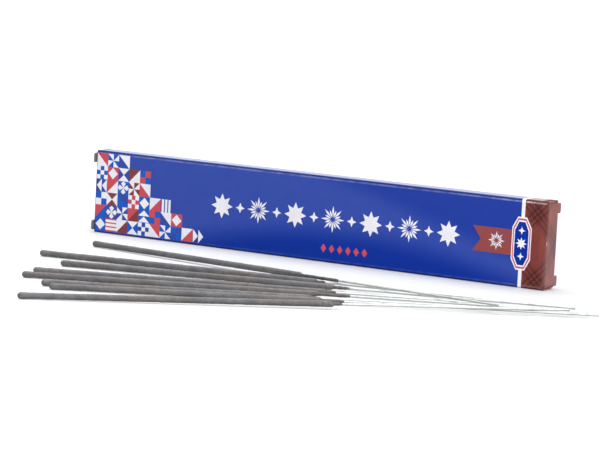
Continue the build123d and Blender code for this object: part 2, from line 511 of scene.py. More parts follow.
def four_times(outline):
    """An outline repeated at all four quarter turns about the middle of the unit square."""
    return np.concatenate([turned(outline, k) for k in range(4)])


# Patchwork blocks in the unit square: outlines with one number of corners in each block
BLOCKS = {
    "h": np.array([[[0, 0], [1, 0], [0, 1]]]),
    "p": four_times(np.array([[[0, 0], [0.5, 0.5], [0, 0.5]]])),
    "c": np.concatenate([square(0, 0.5), square(0.5, 1)]),
    "g": np.array([[[0, 0], [1, 0], [0.5, 0.5]], [[0, 1], [0.5, 0.5], [1, 1]]]),
    "d": np.array([[[0.5, 0.06], [0.94, 0.5], [0.5, 0.94], [0.06, 0.5]]]),
    "n": np.concatenate([four_times(square(0, 1 / 3)), square(1 / 3, 2 / 3)]),
    "x": np.array([[[0, 0.04], [1, 0.04], [0.5, 0.48]], [[0, 0.52], [1, 0.52], [0.5, 0.96]]]),
    "b": np.array([[[a, 0], [a + 0.2, 0], [a + 0.2, 1], [a, 1]] for a in (0.1, 0.4, 0.7)]),
    "e": four_times(np.array([[[0.5, 0.5], [0.72, 0.16], [0.5, 0.0], [0.28, 0.16]]])),
}

# Rows of the patchwork from the top: block, ground ink, figure ink and quarter turns of each tile
PATCHWORK = (
    "hrw0 psw0 hbw2",
    "nsw0 drw0 gbw0 hkw1 csr0",
    "xbw1 hwr3 esw0 pkw1 hrw2",
    "csw0 gkw1 hbs0 nrw0 dsw0 hwr1 bbw0",
    "hrs1 ebw0 pwb0 hkr3 xsw0 csr1 hbw2 drw0",
    "dsw0 brw1 hkw3 gsw0 nbw0 hrw0 psw0 csb0 hwr1 xbw3",
)

# Diamond, ribbon and badge outlines, and the badge's steps: half width, half height and ink
DIAMOND = np.array([[[0, -1], [0.72, 0], [0, 1], [-0.72, 0]]])
RIBBON = np.array([[[73.0, 12.3], [92.0, 12.3], [92.0, 22.2], [73.0, 22.2], [76.6, 17.25]]])
BADGE = np.array(
    [[[-0.45, -1], [0.45, -1], [1, -0.6], [1, 0.6], [0.45, 1], [-0.45, 1], [-1, 0.6], [-1, -0.6]]]
)
BADGE_STEPS = (
    (4.15, 10.3, "paper_white"),
    (3.75, 9.7, "red"),
    (3.3, 9.0, "paper_white"),
    (2.9, 8.4, "ground_low"),
)


class Print:
    """Gathers flat printed shapes on one wide panel and makes them one thin piece."""

    def __init__(self, cfg, side):
        self.cfg, self.side = cfg, side
        self.points, self.faces, self.inks, self.count = [], [], [], 0

    def add(self, outlines, ink, layer):
        """Adds outlines of (shapes, corners, X and Z).

        Each becomes a plate that stands on the panel, a hair higher for each layer.
        """
        shapes, corners = outlines.shape[:2]
        x, z = outlines[..., 0], outlines[..., 1]
        face = HALF_DEPTH + panel_bow(x, z, self.cfg.bow)
        top = np.stack([x, self.side * (face + INK_HEIGHT + INK_STEP * layer), z], axis=-1)
        foot = np.stack([x, self.side * (face - INK_FOOT), z], axis=-1)
        first = self.count + 2 * corners * np.arange(shapes)[:, None]
        ring = first + np.arange(corners)[None, :]
        after = first + np.roll(np.arange(corners), -1)[None, :]
        walls = np.stack([ring, ring + corners, after + corners, after], axis=-1).reshape(-1, 4)
        plates = np.concatenate([ring, ring[:, ::-1] + corners])
        for faces in (walls, plates):
            self.faces += (faces[:, ::-1] if self.side > 0 else faces).tolist()
        self.points.append(np.concatenate([top, foot], axis=1).reshape(-1, 3))
        self.inks.append(np.tile([*ink, 1.0], (2 * corners * shapes, 1)))
        self.count += 2 * corners * shapes

    def stamp(self, outlines, centres, size, ink, layer):
        """Adds the same outlines at several centres, in millimetres."""
        placed = outlines[None] * size + np.asarray(centres, float)[:, None, None, :]
        self.add(placed.reshape(-1, *outlines.shape[1:]) * MM, ink, layer)

    def piece(self, name, material):
        """The gathered shapes as one object."""
        inks = {"ink": np.concatenate(self.inks)}
        return mesh_piece(name, np.concatenate(self.points), self.faces, [material], inks)


def print_panel(cfg, side):
    """Patchwork stair at one end, a row of stars and bursts, red diamonds, a ribbon and a stepped badge.

    Places and sizes are in millimetres on the panel.
    """
    sheet = Print(cfg, side)
    white, red = cfg.paper_white, cfg.red
    inks = {"w": white, "r": red, "s": cfg.sky, "k": cfg.brown, "b": cfg.ground_high}
    tile, left, bottom = cfg.tile / MM, -104.2, 1.05
    for row, words in enumerate(PATCHWORK):
        for column, word in enumerate(words.split()):
            block, ground, figure, turns = word
            corner = np.array([left + column * tile, bottom + (len(PATCHWORK) - 1 - row) * tile])
            # Tiles on the panel's own blue need no ground of their own
            if ground != "b":
                sheet.add((square(0, 1) * tile + corner) * MM, inks[ground], 0)
            sheet.add((turned(BLOCKS[block], int(turns)) * tile + corner) * MM, inks[figure], 1)

    def row_of(x, z):
        """Centres at one height."""
        return np.stack([x, np.full(len(x), z)], axis=1)

    star, level = cfg.star / MM, 17.55
    places = np.linspace(-42.0, 62.4, 7)
    sheet.stamp(regular_star(8, 0.56), row_of(places[::2], level), star, white, 0)
    sheet.stamp(burst(16, 0.16, 0.085), row_of(places[1::2], level), 1.05 * star, white, 0)
    between = (places[1:] + places[:-1]) / 2
    sheet.stamp(regular_star(4, 0.42), row_of(between, level), 0.42 * star, white, 0)
    sheet.stamp(DIAMOND, row_of(np.linspace(6.6, 25.4, 6), 5.65), 1.75, red, 0)
    sheet.add(RIBBON * MM, cfg.ribbon, 0)
    sheet.stamp(burst(16, 0.2, 0.085), [(83.4, 17.25)], 3.6, white, 1)
    badge_x, badge_z, star_offset = 94.1, 17.2, 5.0
    for layer, (half_width, half_height, ink) in enumerate(BADGE_STEPS):
        step = (BADGE * (half_width, half_height) + (badge_x, badge_z)) * MM
        sheet.add(step, getattr(cfg, ink), 1 + layer)
    sheet.stamp(regular_star(8, 0.5), [(badge_x, badge_z)], 2.4, white, 5)
    ends = [(badge_x, badge_z + star_offset), (badge_x, badge_z - star_offset)]
    sheet.stamp(regular_star(4, 0.4), ends, 1.5, white, 5)
    return sheet


# ---------------------------------------------------------------- sparkler shapes


def node_points(node):
    """Points of one of the frame's nodes."""
    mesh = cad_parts[node].data
    points = np.zeros(len(mesh.vertices) * 3)
    mesh.vertices.foreach_get("co", points)
    return points.reshape(-1, 3)


def centre_line(node):
    """Start, direction and length of a round node: the line through the middles of its two ends."""
    points = node_points(node)
    middle = points.mean(axis=0)
    direction = np.linalg.svd(points - middle, full_matrices=False)[2][0]
    direction *= np.sign(direction[0])
    travel = (points - middle) @ direction

    def end_middle(at_end):
        """Middle of the box round one end's points."""
        return (points[at_end].min(axis=0) + points[at_end].max(axis=0)) / 2

    start = end_middle(travel < travel.min() + END_TOLERANCE)
    end = end_middle(travel > travel.max() - END_TOLERANCE)
    span = np.linalg.norm(end - start)
    return start, (end - start) / span, span


def round_line(node, start, direction):
    """Distance of a node's points along a line, and how far they lie from it."""
    points = node_points(node) - start
    place = points @ direction
    return place, np.linalg.norm(points - place[:, None] * direction, axis=1)


def wave(seed, s, angle, longest, shortest, count):
    """Soft noise between 0 and 1: a sum of waves along the wire and round it, each with a seeded phase."""
    rng = np.random.default_rng(seed)
    lengths = np.geomspace(longest, shortest, count)
    total = np.zeros(np.broadcast(s, angle).shape)
    for span, turns, phase in zip(lengths, rng.integers(0, 4, count), rng.uniform(0, 2 * np.pi, count)):
        total = total + np.sin(2 * np.pi * s / span + turns * angle + phase)
    return np.clip(0.5 + total / (2.2 * np.sqrt(count)), 0, 1)


def tube(origin, direction, s, radius, steps, shift=None):
    """Grid of rings: row i stands at distance s[i] along the line, its points at their radius round it."""
    side = np.cross(direction, (0.0, 0.0, 1.0))
    side /= np.linalg.norm(side)
    up = np.cross(side, direction)
    angle = np.linspace(0, 2 * np.pi, steps, endpoint=False)
    centre = origin + s[:, None] * direction
    if shift is not None:
        centre = centre + shift[:, :1] * side + shift[:, 1:] * up
    ring = np.cos(angle)[:, None] * side + np.sin(angle)[:, None] * up
    return centre[:, None, :] + radius[..., None] * ring[None]


def tube_faces(rows, columns):
    """Quads of a tube of rings with one face over each end."""
    last = (rows - 1) * columns
    caps = [list(range(columns)), list(range(last + columns - 1, last - 1, -1))]
    return grid_faces(rows, columns, closed=True).tolist() + caps


def wire_shape(name, cfg, seed):
    """Drawn wire: a round tube whose bare end strays by two slow waves, with a softened cut at each end."""
    node = f"{name}_wire"
    start, direction, span = centre_line(node)
    radius = round_line(node, start, direction)[1].max()
    chamfer, straight, columns = 0.12 * MM, 2 * MM, 18
    s = np.concatenate([[0, chamfer], np.linspace(straight, span - straight, 110), [span - chamfer, span]])
    r = np.where((s < chamfer / 2) | (s > span - chamfer / 2), radius - chamfer, radius)
    phase = np.random.default_rng(seed).uniform(0, 2 * np.pi, 3)
    slow, quick, rise = (
        np.sin(2 * np.pi * s / (part * span) + at) for part, at in zip((0.9, 0.21, 0.7), phase)
    )
    free = ease((s / span - 0.55) / 0.45)
    stray = np.stack([slow + 0.35 * quick, 0.3 * (1 + rise)], axis=1)
    shift = cfg.wander * free[:, None] * stray
    return tube(start, direction, s, np.repeat(r[:, None], columns, axis=1), columns, shift)


def coat_shape(name, cfg, seed):
    """Dried dip round a wire: radius = full coat less its lumps, rounded at the tip.

    A ragged shoulder steps it down to the thin first dip. The full coat's share goes with the grid.
    """
    start, direction, _ = centre_line(f"{name}_wire")
    place, girth = round_line(f"{name}_coat", start, direction)
    full, tip = girth.max(), place.min()
    shoulder = place[girth > 0.95 * full].max() + cfg.runout - tip
    end = place.max() - tip
    at_end = girth[place > place.max() - END_TOLERANCE]
    thin, wire = at_end.max(), at_end.min()
    columns = 40
    angle = np.linspace(0, 2 * np.pi, columns, endpoint=False)[None, :]
    nose = full * (1 - np.cos(np.linspace(0.06, np.pi / 2, 12)))
    shaft = np.linspace(1.2 * full, shoulder - 4 * MM, 300)
    s = np.concatenate([nose, shaft, np.linspace(shoulder - 3.7 * MM, end, 110)])[:, None]
    bulb = np.exp(-(((s - 1.5 * full) / (1.5 * full)) ** 2))
    swells = wave(seed, s, angle, 34 * MM, 6 * MM, 7)
    grains = wave(seed + 50, s, angle, 5 * MM, 1.3 * MM, 9)
    lumps = 0.55 * swells + 0.45 * grains
    body = full * (1 - cfg.lumps * lumps * (1 - 0.7 * bulb) - 0.02 * (1 - bulb))
    ragged = wave(seed + 100, 0 * s[:1], angle, 1.0, 0.3, 5)
    edge = shoulder - cfg.drip * (1 - ragged)
    keep = ease((edge - s) / cfg.runout)
    skin = wire + (thin - wire) * (1 - 0.45 * wave(seed + 150, s, angle, 9 * MM, 2 * MM, 6))
    rim = end - 0.9 * cfg.drip * wave(seed + 200, 0 * s[:1], angle, 1.0, 0.3, 5)
    # Past its rim the thin dip ends just inside the wire
    skin = wire - 0.005 * MM + (skin - wire) * ease((rim - s) / (0.5 * cfg.runout))
    radius = keep * body + (1 - keep) * skin
    radius = radius * np.sqrt(np.clip(1 - (1 - np.minimum(s, full) / full) ** 2, 0, 1))
    return tube(start + tip * direction, direction, s[:, 0], radius, columns), keep


# ---------------------------------------------------------------- materials

FLOAT, VECTOR = "NodeSocketFloat", "NodeSocketVector"


def set_inputs(made, inputs):
    """Links a node's inputs from sockets, or sets them to values."""
    for key, value in inputs.items():
        if isinstance(value, bpy.types.NodeSocket):
            made.id_data.links.new(value, made.inputs[key])
        else:
            made.inputs[key].default_value = value


def add_node(tree, kind, inputs=None, **settings):
    """A node with its settings and its inputs."""
    made = tree.nodes.new(kind)
    for key, value in settings.items():
        setattr(made, key, value)
    set_inputs(made, inputs or {})
    return made


def join(kind, inputs, **settings):
    """A node in the tree that the sockets among its inputs belong to."""
    tree = next(v.id_data for v in inputs.values() if isinstance(v, bpy.types.NodeSocket))
    return add_node(tree, kind, inputs, **settings)


def sums(operation, a, b=0.0, c=0.0):
    """Result of one Math node."""
    return join("ShaderNodeMath", {0: a, 1: b, 2: c}, operation=operation).outputs[0]


plus, minus, times = partial(sums, "ADD"), partial(sums, "SUBTRACT"), partial(sums, "MULTIPLY")
times_plus, greatest = partial(sums, "MULTIPLY_ADD"), partial(sums, "MAXIMUM")
unsigned, past = partial(sums, "ABSOLUTE"), partial(sums, "GREATER_THAN")


def fade(value, start, end, low=0.0, high=1.0):
    """Smooth change from low to high while a value goes from start to end."""
    inputs = {"Value": value, "From Min": start, "From Max": end, "To Min": low, "To Max": high}
    return join("ShaderNodeMapRange", inputs, interpolation_type="SMOOTHSTEP").outputs[0]


def blend(share_of_b, a, b):
    """Mix of two colours."""
    a, b = (c if isinstance(c, bpy.types.NodeSocket) else (*c, 1.0) for c in (a, b))
    return join("ShaderNodeMix", {0: share_of_b, 6: a, 7: b}, data_type="RGBA").outputs[2]


def darker(ink, amount):
    """A colour times an amount."""
    return [amount * c for c in ink]


def noise(where, scale, detail=2.0, roughness=0.5):
    """Value of a noise texture."""
    inputs = {"Vector": where, "Scale": scale, "Detail": detail, "Roughness": roughness}
    return join("ShaderNodeTexNoise", inputs).outputs["Fac"]


def raised(height, strength, depth):
    """Normal of a surface that a height raises."""
    return join("ShaderNodeBump", {"Height": height, "Strength": strength, "Distance": depth}).outputs[0]


def kept_value(tree, name, output="Fac"):
    """A named value, or colour, that is kept on a piece's points."""
    return add_node(tree, "ShaderNodeAttribute", attribute_name=name).outputs[output]


def new_group(name, inputs, outputs):
    """An empty shader group with named sockets, given as name to kind or name to (kind, default)."""
    group = bpy.data.node_groups.new(name, "ShaderNodeTree")
    for key, kind in inputs.items():
        kind, default = kind if isinstance(kind, tuple) else (kind, None)
        socket = group.interface.new_socket(key, in_out="INPUT", socket_type=kind)
        if default is not None:
            socket.default_value = default
    for key, kind in outputs.items():
        group.interface.new_socket(key, in_out="OUTPUT", socket_type=kind)
    return group, group.nodes.new("NodeGroupInput").outputs, group.nodes.new("NodeGroupOutput").inputs


def place_group(name, inputs):
    """A group's outputs in a material, with its inputs linked or set."""
    return join("ShaderNodeGroup", inputs, node_tree=bpy.data.node_groups[name]).outputs


def new_material(name):
    """A material with its node tree, its Principled shader and its object coordinates."""
    material = bpy.data.materials.new(name)
    material.use_nodes = True
    tree = material.node_tree
    where = add_node(tree, "ShaderNodeTexCoord").outputs["Object"]
    return material, tree, tree.nodes["Principled BSDF"], where


def new_paper(name):
    """A new material with the paper grain's outputs."""
    material, tree, shader, where = new_material(name)
    return material, tree, shader, where, place_group("Paper grain", {"Where": where})


def paper_grain_group():
    """Paper grain: cloudy mottle from two noises and a height from long fibres."""
    group, given, result = new_group(
        "Paper grain", {"Where": VECTOR}, {"Mottle": FLOAT, "Fibre height": FLOAT}
    )
    where = given["Where"]
    cloud = noise(where, 160.0, 3.0, 0.55)
    speck = noise(where, 2600.0, 2.0, 0.6)
    group.links.new(times_plus(cloud, 0.7, times(speck, 0.3)), result["Mottle"])
    stretched = join("ShaderNodeMapping", {"Vector": where, "Scale": (0.35, 1.0, 1.0)})
    group.links.new(noise(stretched.outputs[0], 1900.0, 4.0, 0.6), result["Fibre height"])


def fold_wear_group():
    """Fold wear: ink is gone in short broken dashes where the distance to a fold is small."""
    group, given, result = new_group(
        "Fold wear",
        {
            "Where": VECTOR,
            "Fold distance": FLOAT,
            "Reach": (FLOAT, 0.5),
            "Rub": FLOAT,
            "Amount": (FLOAT, 0.5),
        },
        {"Wear": FLOAT},
    )
    patch = fade(noise(given["Where"], 60.0, 2.0), 0.53, 0.7)
    patch = greatest(patch, given["Rub"])
    crumbs = fade(noise(given["Where"], 520.0, 4.0, 0.7), 0.42, 0.66)
    reach = times(given["Reach"], times(patch, crumbs))
    inside = minus(reach, given["Fold distance"])
    wear = times(fade(inside, 0.0, 0.12), given["Amount"])
    group.links.new(wear, result["Wear"])


def plaid_group():
    """Plaid on the cross, in millimetres.

    Three dark lines and a soft band run in each of two directions at half a right angle.
    """
    group, given, result = new_group(
        "Plaid", {"Across": FLOAT, "Up": FLOAT}, {"Lines": FLOAT, "Bands": FLOAT}
    )
    half_repeat, pair_at, slant = 8.85, 1.8, 0.7071

    def stripes(operation, first):
        """Lines and a band that repeat along one slanted direction."""
        value = minus(times(sums(operation, given["Across"], given["Up"]), slant), first)
        place = unsigned(sums("WRAP", value, half_repeat, -half_repeat))
        beside = unsigned(minus(place, pair_at))
        line = fade(place, 0.2, 0.6, 1.0, 0.0)
        pair = fade(beside, 0.15, 0.55, 1.0, 0.0)
        return greatest(line, pair), fade(place, 3.0, 3.6, 1.0, 0.0)

    both = zip(stripes("ADD", 73.9), stripes("SUBTRACT", 68.2))
    for key, (rising, falling) in zip(("Lines", "Bands"), both):
        group.links.new(times(plus(rising, falling), 0.5), result[key])


def varnish(tree, shader, grain, wear, where, gloss=0.05):
    """Gloss of printed board: varnish that thins where the ink wears, over faint fibres."""
    facing = add_node(tree, "ShaderNodeLayerWeight").outputs["Facing"]
    sheen = fade(facing, 0.76, 0.9, 0.08, 1.0)
    swell = noise(where, 38.0, 1.0)
    height = times_plus(grain["Fibre height"], 0.12, swell)
    finish = {
        "Roughness": fade(grain["Mottle"], 0.3, 0.7, 0.3, 0.42),
        "Specular IOR Level": gloss,
        "Coat Weight": times(sheen, minus(1.0, wear)),
        "Coat Roughness": 0.12,
        "Normal": raised(height, 0.14, 0.6 * MM),
    }
    set_inputs(shader, finish)


def plaid_colour(cfg, across, up, grain):
    """Brown plaid: soft bands and dark lines over brown, mottled by the grain."""
    plaid = place_group("Plaid", {"Across": across, "Up": up})
    ground = blend(fade(grain["Mottle"], 0.35, 0.65, 0.0, 0.22), cfg.brown, cfg.brown_dark)
    banded = blend(times(plaid["Bands"], 0.45), ground, cfg.brown_dark)
    lined = fade(plaid["Lines"], 0.0, 0.8, 0.0, 0.8)
    return blend(lined, banded, darker(cfg.brown_dark, 0.6))


def sleeve_material(cfg):
    """Printed sleeve: blue ground, a pale line, then the plaid end band, with wear along the folds, painted
    shade in them and a painted highlight below them.

    A painted reflection makes the ground paler over a low arch. Places are in millimetres on the panel.
    """
    material, tree, shader, where, grain = new_paper("printed sleeve")
    place = join("ShaderNodeSeparateXYZ", {"Vector": where}).outputs
    across = times(place["X"], 1 / MM)
    up = times(place["Z"], 1 / MM)
    # The bottom folds stand on the table and keep their ink, and handling rubs the plaid end most
    from_fold = kept_value(tree, "fold")
    beside = unsigned(minus(from_fold, 0.85))
    off_fold = greatest(minus(beside, 0.25), 0.0)
    handled = fade(across, 40.0, 98.0)
    low_down = fade(up, 10.0, 20.0, 0.4, 0.0)
    spared = times_plus(minus(1.0, handled), 0.5, low_down)
    wear = place_group(
        "Fold wear",
        {
            "Where": where,
            "Fold distance": plus(off_fold, spared),
            "Reach": 0.5,
            "Rub": times(handled, 0.22),
            "Amount": cfg.wear,
        },
    )["Wear"]
    # Painted reflection: the ground is paler above a low arch and less so towards the upper right
    arch_middle, arch_half, arch_drop, arch_top = 18.0, 70.0, 8.3, 12.2
    off_middle = times_plus(across, 1 / arch_half, -arch_middle / arch_half)
    arch = times_plus(times(off_middle, off_middle), -arch_drop, arch_top)
    above = fade(minus(up, arch), -6.0, 6.0)
    deeper = fade(times_plus(up, 3.6, across), 112.0, 150.0, 1.0, 0.38)
    ground = blend(times(above, deeper), cfg.ground_low, cfg.ground_high)
    ground = blend(fade(grain["Mottle"], 0.3, 0.7, 0.0, 0.12), ground, cfg.ground_low)
    # Painted shade darkens the ink in the folds, and a darker line runs along the left edge
    fold_shade = fade(unsigned(plus(from_fold, 0.1)), 0.3, 0.75, 0.65, 0.0)
    edged = fade(across, -104.5, -104.1, 0.6, 0.0)
    ground = blend(greatest(fold_shade, edged), ground, darker(cfg.ground_low, 0.16))
    start = cfg.band_start / MM
    inked = blend(past(across, start - cfg.band_line / MM), ground, cfg.paper_white)
    plaid = plaid_colour(cfg, across, up, grain)
    # Painted shade in the folds darkens the plaid too
    plaid = blend(times(fold_shade, 0.6), plaid, darker(cfg.brown_dark, 0.35))
    inked = blend(past(across, start), inked, plaid)
    # A thin pale line runs along each wide panel just below its fold: partly rubbed ink, partly a painted
    # highlight of the fold's rounded bead
    rubbed = fade(beside, 0.12, 0.5, 1.0, 0.0)
    for amount in (
        fade(noise(where, 300.0, 3.0, 0.6), 0.3, 0.6, 0.3, 1.0),
        fade(across, 60.0, 100.0, 0.14, 0.28),
        fade(up, 10.0, 20.0, 0.25, 1.0),
    ):
        rubbed = times(rubbed, amount)
    # Fold wear and the painted highlight whiten the ink together
    wear_and_painted_light = greatest(wear, rubbed)
    set_inputs(shader, {"Base Color": blend(wear_and_painted_light, inked, cfg.paper_white)})
    varnish(tree, shader, grain, wear, where)
    return material


def flap_material(cfg):
    """Printed flap: the plaid carried on round the crease, from the board's own coordinates."""
    material, tree, shader, where, grain = new_paper("printed flap")
    from_fold = kept_value(tree, "fold")
    inputs = {"Where": where, "Fold distance": from_fold, "Reach": 0.2, "Amount": 0.4 * cfg.wear}
    wear = place_group("Fold wear", inputs)["Wear"]
    board = add_node(tree, "ShaderNodeUVMap", uv_map="board").outputs[0]
    place = join("ShaderNodeSeparateXYZ", {"Vector": board}).outputs
    inked = plaid_colour(cfg, place["Y"], place["X"], grain)
    # Painted reflection of the floor leaves the lower half a little paler
    wear_and_painted_light = greatest(wear, fade(place["X"], 8.0, 24.0, 0.03, 0.0))
    set_inputs(shader, {"Base Color": blend(wear_and_painted_light, inked, cfg.paper_white)})
    varnish(tree, shader, grain, wear, where, gloss=0.25)
    return material


def dust_material(cfg, name, ink):
    """Outer face of a dust flap: the panel's ink bleeds out to bare board a little past the crease."""
    material, tree, shader, _, grain = new_paper(name)
    bleed = times_plus(grain["Mottle"], 1.2, kept_value(tree, "fold"))
    inked = blend(fade(bleed, 3.4, 3.7), ink, cfg.bare_board)
    mottled = fade(grain["Mottle"], 0.3, 0.75, 0.0, 0.2)
    finish = {
        "Base Color": blend(mottled, inked, (0.2, 0.19, 0.18)),
        "Roughness": fade(grain["Mottle"], 0.3, 0.7, 0.55, 0.75),
        "Normal": raised(grain["Fibre height"], 0.2, 0.04 * MM),
    }
    set_inputs(shader, finish)
    return material


def bare_board_material(cfg):
    """Unprinted side and cut edges of the board: grey pulp with darker fibres."""
    material, _, shader, _, grain = new_paper("bare board")
    mottled = fade(grain["Mottle"], 0.3, 0.7)
    finish = {
        "Base Color": blend(mottled, cfg.bare_board, darker(cfg.bare_board, 0.72)),
        "Roughness": fade(grain["Fibre height"], 0.3, 0.7, 0.78, 0.92),
        "Normal": raised(grain["Fibre height"], 0.3, 0.05 * MM),
    }
    set_inputs(shader, finish)
    return material


def ink_material(cfg):
    """Printed shapes: each shape's own ink, a little mottled, under the same varnish as the board."""
    material, tree, shader, where, grain = new_paper("printed inks")
    thin = fade(grain["Mottle"], 0.35, 0.75, 0.0, 0.1)
    ink = kept_value(tree, "ink", "Color")
    set_inputs(shader, {"Base Color": blend(thin, ink, cfg.ground_high)})
    varnish(tree, shader, grain, thin, where)
    return material


def steel_material(cfg):
    """Drawn steel: fine grain and faint cloudy tarnish."""
    material, _, shader, where = new_material("drawn steel")
    tarnish = fade(noise(where, 240.0, 3.0, 0.6), 0.48, 0.72, 0.0, 0.5)
    fine = noise(where, 5200.0, 2.0, 0.6)
    finish = {
        "Base Color": blend(tarnish, cfg.steel, darker(cfg.steel, 0.45)),
        "Metallic": 0.6,
        "Roughness": fade(fine, 0.3, 0.7, 0.36, 0.52),
        "Normal": raised(fine, 0.1, 0.03 * MM),
    }
    set_inputs(shader, finish)
    return material


def coat_material(cfg):
    """Dried spark mix: matte grey paste with filings in it, darker where the dip is thin."""
    material, tree, shader, where = new_material("dried spark mix")
    clouds = noise(where, 210.0, 4.0, 0.6)
    grit = noise(where, 1900.0, 3.0, 0.7)
    scattered = {"Vector": where, "Scale": 2300.0, "Randomness": 1.0}
    filings = join("ShaderNodeTexVoronoi", scattered, feature="F1").outputs["Distance"]
    # Faint cool and warm stretches, as the dip dried
    cool_tint, warm_tint = (0.955, 1.0, 1.045), (1.06, 1.0, 0.93)
    cool, warm = ([c * t for c, t in zip(cfg.coat, tint)] for tint in (cool_tint, warm_tint))
    paste = blend(fade(noise(where, 26.0, 1.0), 0.38, 0.62), cool, warm)
    for amount, shade in (
        (fade(clouds, 0.32, 0.68, 0.0, 0.45), cfg.coat_dark),
        (fade(grit, 0.5, 0.72, 0.0, 0.7), cfg.coat_dark),
        (fade(filings, 0.16, 0.05, 0.0, 0.5), (0.42, 0.42, 0.43)),
        (fade(kept_value(tree, "dip"), 0.1, 0.8, 0.4, 0.0), cfg.coat_dark),
    ):
        paste = blend(amount, paste, shade)
    height = times_plus(clouds, 0.8, times_plus(filings, -0.5, grit))
    finish = {
        "Base Color": paste,
        "Roughness": fade(grit, 0.3, 0.7, 0.42, 0.62),
        "Normal": raised(height, 0.55, 0.22 * MM),
    }
    set_inputs(shader, finish)
    return material


def floor_material(cfg):
    """Pale table: matte, with a glow for the camera and reflections that brings its open parts to white."""
    material, tree, shader, where = new_material("pale table")
    cloud = fade(noise(where, 3.0), 0.3, 0.7, 0.97, 1.0)
    path = add_node(tree, "ShaderNodeLightPath").outputs
    seen = greatest(path["Is Camera Ray"], path["Is Glossy Ray"])
    from_object = {0: where, 1: (0.05, 0.03, 0.0)}
    away = join("ShaderNodeVectorMath", from_object, operation="DISTANCE").outputs["Value"]
    glow = fade(away, 0.05, 0.55, cfg.lift, cfg.far_lift)
    finish = {
        "Base Color": blend(cloud, darker(cfg.floor, 0.95), cfg.floor),
        "Roughness": 0.7,
        "Emission Color": (1.0, 1.0, 1.0, 1.0),
        "Emission Strength": times(seen, glow),
    }
    set_inputs(shader, finish)
    return material


# ---------------------------------------------------------------- operators


def finish_of(name, make, cfg):
    """A material made once and shared."""
    return bpy.data.materials.get(name) or make(cfg)


def board_finishes(name, make, cfg):
    """A printed face and the bare board behind it."""
    return [finish_of(name, make, cfg), finish_of("bare board", bare_board_material, cfg)]


class SPARKLERS_OT_effects(bpy.types.Operator):
    """Builds the shader groups that several finishes share"""

    bl_idname = "sparklers.effects"
    bl_label = "Shared effects"

    def execute(self, context):
        paper_grain_group()
        fold_wear_group()
        plaid_group()
        return {"FINISHED"}


class SPARKLERS_OT_sleeve(bpy.types.Operator):
    """Folds the carton's sleeve from one strip of board"""

    bl_idname = "sparklers.sleeve"
    bl_label = "Carton sleeve"

    def execute(self, context):
        cfg = context.scene.sparkler_carton
        finishes = board_finishes("printed sleeve", sleeve_material, cfg)
        sleeve = board_piece("sleeve_board", sleeve_parts(cfg), finishes, cfg.board)
        settle(sleeve, "carton", "printed_board", "carton_sleeve")
        return {"FINISHED"}


class SPARKLERS_OT_closure_flaps(bpy.types.Operator):
    """Folds both closure flaps and the printed face over their creases"""

    bl_idname = "sparklers.closure_flaps"
    bl_label = "Closure flaps"

    def execute(self, context):
        cfg = context.scene.sparkler_carton
        finishes = board_finishes("printed flap", flap_material, cfg)
        thickness = FLAP_BOARD * cfg.board
        for side, turn in (("right", 1.0), ("left", -1.0)):
            body = f"{side}_closure_flap_body"
            flap = board_piece(f"{side}_closure_board", closure_parts(cfg, turn), finishes, thickness)
            settle(flap, body, "printed_board", f"{side}_closure_flap")
            skin = board_piece(f"{side}_crease_face", crease_parts(cfg, turn), finishes[:1] * 2, CREASE_FACE)
            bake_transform(skin)
        return {"FINISHED"}


class SPARKLERS_OT_dust_flaps(bpy.types.Operator):
    """Folds the four dust flaps inside the carton's ends"""

    bl_idname = "sparklers.dust_flaps"
    bl_label = "Dust flaps"

    def execute(self, context):
        cfg = context.scene.sparkler_carton
        bare = finish_of("bare board", bare_board_material, cfg)
        thickness = FLAP_BOARD * cfg.board
        for side, turn, ink in (("right", 1.0, cfg.brown), ("left", -1.0, cfg.ground_low)):
            finishes = [dust_material(cfg, f"{side} dust flap face", ink), bare]
            for end, top in (("top", True), ("bottom", False)):
                node = f"{side}_{end}_dust_flap"
                parts = dust_parts(cfg, turn, top)
                flap = board_piece(f"{side}_{end}_dust_board", parts, finishes, thickness)
                settle(flap, f"{node}_body", "printed_board", node)
        return {"FINISHED"}


class SPARKLERS_OT_motifs(bpy.types.Operator):
    """Prints the patchwork, stars, diamonds, ribbon and badge on both wide panels"""

    bl_idname = "sparklers.motifs"
    bl_label = "Printed motifs"

    def execute(self, context):
        cfg = context.scene.sparkler_carton
        ink = finish_of("printed inks", ink_material, cfg)
        for name, side in (("front_motifs", -1.0), ("back_motifs", 1.0)):
            motifs = print_panel(cfg, side).piece(name, ink)
            settle(motifs, "carton", "printed_board")
        return {"FINISHED"}


class SPARKLERS_OT_wires(bpy.types.Operator):
    """Draws the ten steel wires"""

    bl_idname = "sparklers.wires"
    bl_label = "Wires"

    def execute(self, context):
        cfg = context.scene.sparkler_coats
        steel = finish_of("drawn steel", steel_material, cfg)
        for seed, name in enumerate(SPARKLERS):
            grid = wire_shape(name, cfg, 300 + seed)
            wire = mesh_piece(f"{name}_steel", grid, tube_faces(*grid.shape[:2]), [steel])
            settle(sharpen_by_angle(wire, 40), name, "steel_wire", f"{name}_wire")
        return {"FINISHED"}


class SPARKLERS_OT_coats(bpy.types.Operator):
    """Dips the ten wires: a full coat over a thinner first dip"""

    bl_idname = "sparklers.coats"
    bl_label = "Coats"

    def execute(self, context):
        cfg = context.scene.sparkler_coats
        mix = finish_of("dried spark mix", coat_material, cfg)
        for seed, name in enumerate(SPARKLERS):
            grid, dip = coat_shape(name, cfg, 7 * seed + 11)
            faces = tube_faces(*grid.shape[:2])
            coat = mesh_piece(f"{name}_mix", grid, faces, [mix], {"dip": dip.ravel()})
            settle(sharpen_by_angle(coat, 70), name, "spark_coat", f"{name}_coat")
        return {"FINISHED"}


